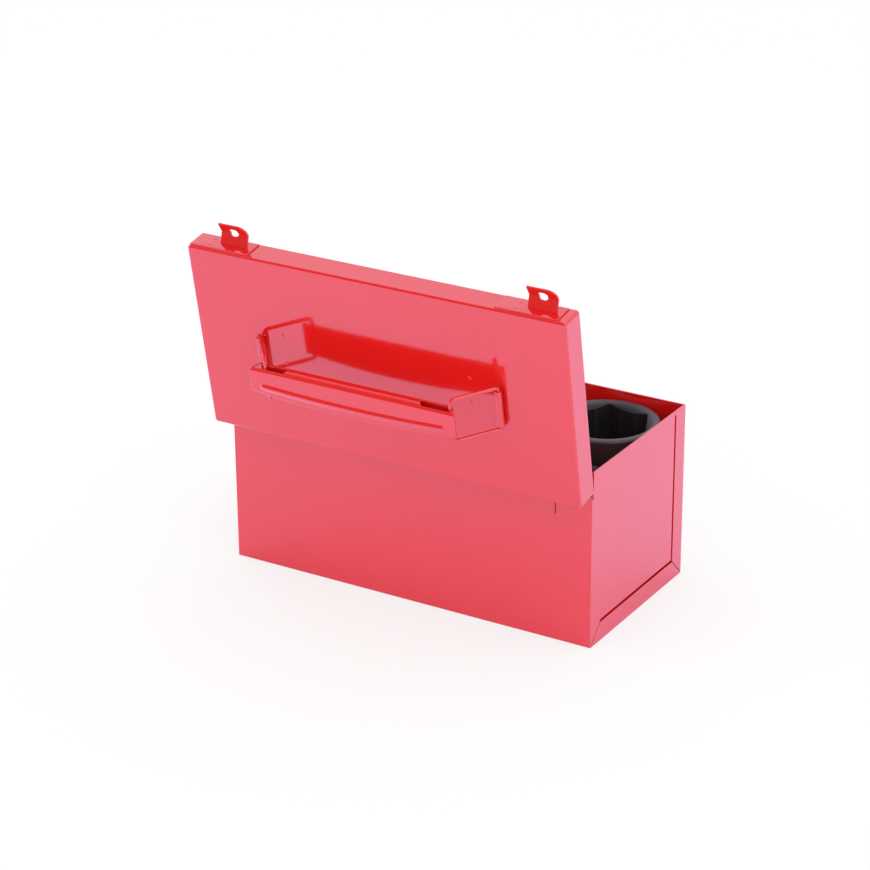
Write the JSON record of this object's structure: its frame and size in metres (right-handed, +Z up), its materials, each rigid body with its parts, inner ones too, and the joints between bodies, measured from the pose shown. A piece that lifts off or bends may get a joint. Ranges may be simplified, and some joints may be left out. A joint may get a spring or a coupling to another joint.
{
  "type": "socket storage case",
  "caption": "Red folded sheet-metal socket case with a hinged cap lid, a fold-down carrying handle, draw latches and loose impact sockets inside.",
  "frame": {"origin": "middle of the case's underside", "axes": "+X along the case, -Y towards the latch side, +Y towards the hinge side, +Z up"},
  "size_m": [0.3144, 0.2373, 0.2895],
  "materials": {
    "red_paint": "glossy red enamel on folded steel sheet",
    "socket_black": "black phosphate, satin",
    "pin_steel": "plain steel pin ends"
  },
  "bodies": {
    "case": {"case_wrap": "red_paint", "end_panel_left": "red_paint", "end_panel_right": "red_paint", "hinge_pin": "pin_steel", "latch_base_left": "red_paint", "latch_base_right": "red_paint", "latch_pin_left": "pin_steel", "latch_pin_right": "pin_steel", "latch_rivets": "red_paint"},
    "lid": {"lid": "red_paint", "handle_plate_left": "red_paint", "handle_plate_right": "red_paint", "keeper_left": "red_paint", "keeper_right": "red_paint", "keeper_rivets": "red_paint"},
    "handle_grip": {"handle_grip": "red_paint"},
    "handle_ring_left": {"handle_ring_left": "red_paint"},
    "handle_ring_right": {"handle_ring_right": "red_paint"},
    "latch_lever_left": {"latch_lever_left": "red_paint"},
    "latch_bail_left": {"latch_bail_left": "red_paint"},
    "latch_lever_right": {"latch_lever_right": "red_paint"},
    "latch_bail_right": {"latch_bail_right": "red_paint"},
    "socket_large": {"socket_large": "socket_black"},
    "socket_second": {"socket_second": "socket_black"},
    "socket_third": {"socket_third": "socket_black"},
    "socket_fourth": {"socket_fourth": "socket_black"},
    "socket_fifth": {"socket_fifth": "socket_black"},
    "socket_sixth": {"socket_sixth": "socket_black"}
  },
  "joints": [
    {"name": "lid_hinge", "type": "hinge", "parent": "case", "child": "lid", "pos_m": [0, 0.0748, 0.123], "axis": [-1, 0, 0], "range_deg": [-100, 0]},
    {"name": "grip_lift", "type": "slide", "parent": "lid", "child": "handle_grip", "axis": [0, 0.9848, -0.1736], "range_m": [-0.02757, 0]},
    {"name": "ring_left_swing", "type": "hinge", "parent": "lid", "child": "handle_ring_left", "pos_m": [-0.1005, 0.11107, 0.19281], "axis": [0, 0.1736, 0.9848], "range_deg": [-50, 0]},
    {"name": "ring_right_swing", "type": "hinge", "parent": "lid", "child": "handle_ring_right", "pos_m": [0.1005, 0.11107, 0.19281], "axis": [0, -0.1736, -0.9848], "range_deg": [-50, 0]},
    {"name": "lever_left_swing", "type": "hinge", "parent": "case", "child": "latch_lever_left", "pos_m": [-0.1335, -0.082, 0.097], "axis": [-1, 0, 0], "range_deg": [0, 120]},
    {"name": "bail_left_swing", "type": "hinge", "parent": "latch_lever_left", "child": "latch_bail_left", "pos_m": [-0.1335, -0.0793, 0.088], "axis": [1, 0, 0], "range_deg": [-169, 0]},
    {"name": "lever_right_swing", "type": "hinge", "parent": "case", "child": "latch_lever_right", "pos_m": [0.1225, -0.082, 0.097], "axis": [-1, 0, 0], "range_deg": [0, 120]},
    {"name": "bail_right_swing", "type": "hinge", "parent": "latch_lever_right", "child": "latch_bail_right", "pos_m": [0.1225, -0.0793, 0.088], "axis": [1, 0, 0], "range_deg": [-169, 0]},
    {"name": "socket_large_lift", "type": "slide", "parent": "case", "child": "socket_large", "axis": [0, 0, 1], "range_m": [0, 0.145]},
    {"name": "socket_second_lift", "type": "slide", "parent": "case", "child": "socket_second", "axis": [0, 0, 1], "range_m": [0, 0.145]},
    {"name": "socket_third_lift", "type": "slide", "parent": "case", "child": "socket_third", "axis": [0, 0, 1], "range_m": [0, 0.145]},
    {"name": "socket_fourth_lift", "type": "slide", "parent": "case", "child": "socket_fourth", "axis": [0, 0, 1], "range_m": [0, 0.145]},
    {"name": "socket_fifth_lift", "type": "slide", "parent": "case", "child": "socket_fifth", "axis": [0, 0, 1], "range_m": [0, 0.145]},
    {"name": "socket_sixth_lift", "type": "slide", "parent": "case", "child": "socket_sixth", "axis": [0, 0, 1], "range_m": [0, 0.145]}
  ],
  "couplings": [
    {"joint": "ring_left_swing", "follows": "grip_lift", "rad_per_m": 31.64},
    {"joint": "ring_right_swing", "follows": "grip_lift", "rad_per_m": 31.64}
  ]
}
